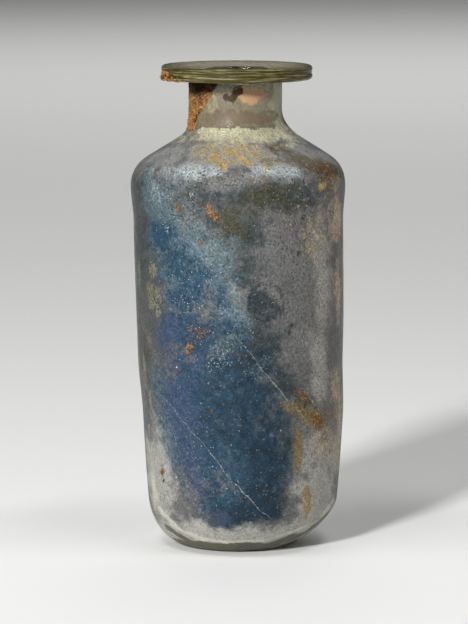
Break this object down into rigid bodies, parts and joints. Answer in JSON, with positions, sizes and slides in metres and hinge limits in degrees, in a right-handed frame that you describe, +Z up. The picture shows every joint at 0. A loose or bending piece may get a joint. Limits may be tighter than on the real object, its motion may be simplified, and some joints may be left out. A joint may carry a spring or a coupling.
{
  "type": "roman glass unguentarium",
  "caption": "Free-blown ancient glass bottle with a tall cylindrical body, sloping shoulder, short neck and broad folded rim, weathered and caked with soil.",
  "frame": {"origin": "on the surface the bottle stands on, under the middle of its shoulder, which is the middle of its bounding box", "axes": "+Z up along the bottle, +X to its right and +Y away from the viewer when its soiled neck is at the left of the front"},
  "size_m": [0.0667, 0.0665, 0.15],
  "materials": {
    "weathered_glass": "pale olive-green glass under a silver-grey and deep blue iridescent weathering film",
    "burial_soil": "sandy orange to near-black soil crust"
  },
  "bodies": {
    "root": {"bottle": "weathered_glass"}
  },
  "joints": []
}
